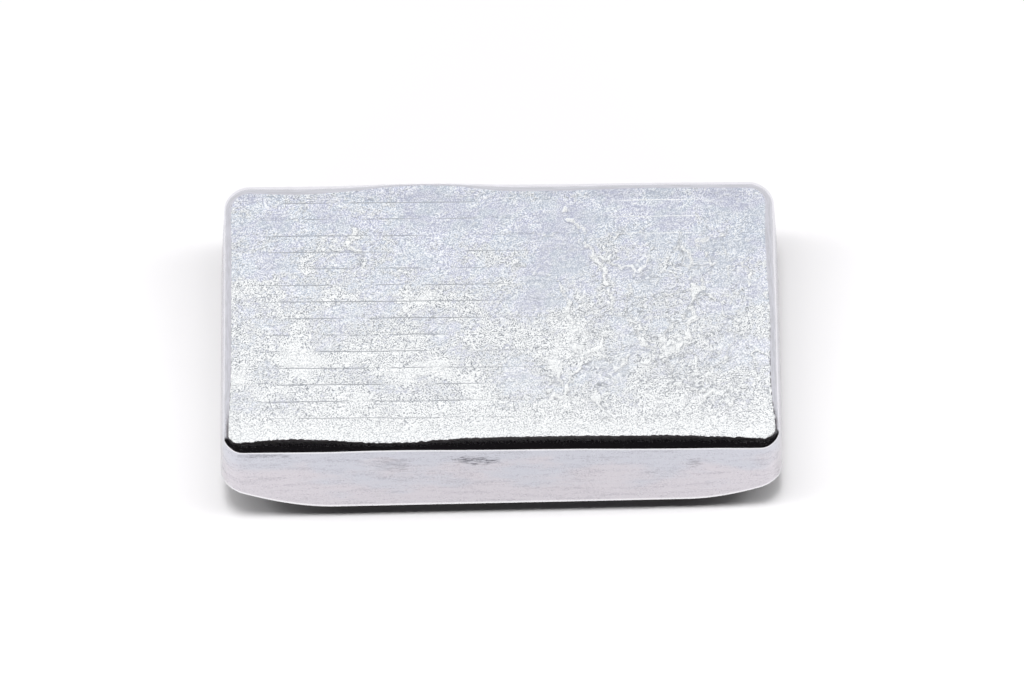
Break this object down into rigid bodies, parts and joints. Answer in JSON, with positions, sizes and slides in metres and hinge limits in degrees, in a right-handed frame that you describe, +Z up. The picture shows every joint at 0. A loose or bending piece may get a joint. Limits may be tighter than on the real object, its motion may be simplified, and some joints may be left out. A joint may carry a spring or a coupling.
{
  "type": "metal ingot",
  "caption": "small bright cast metal ingot with drafted walls, a rounded uneven rim round its milled-looking top face and a bulged free surface below",
  "frame": {"origin": "centre of the bounding box, on the level floor that the ingot rests on", "axes": "+X along the ingot's length, away from its thicker end; +Y from its near wall to its far wall; +Z up, from the free surface to the face that the mould's floor gave"},
  "size_m": [0.0711, 0.038, 0.0209],
  "materials": {
    "cast_metal": "frosty as-cast faces with a fine grain, mirror-bright rounded rim and free surface"
  },
  "bodies": {
    "root": {"ingot": "cast_metal"}
  },
  "joints": []
}
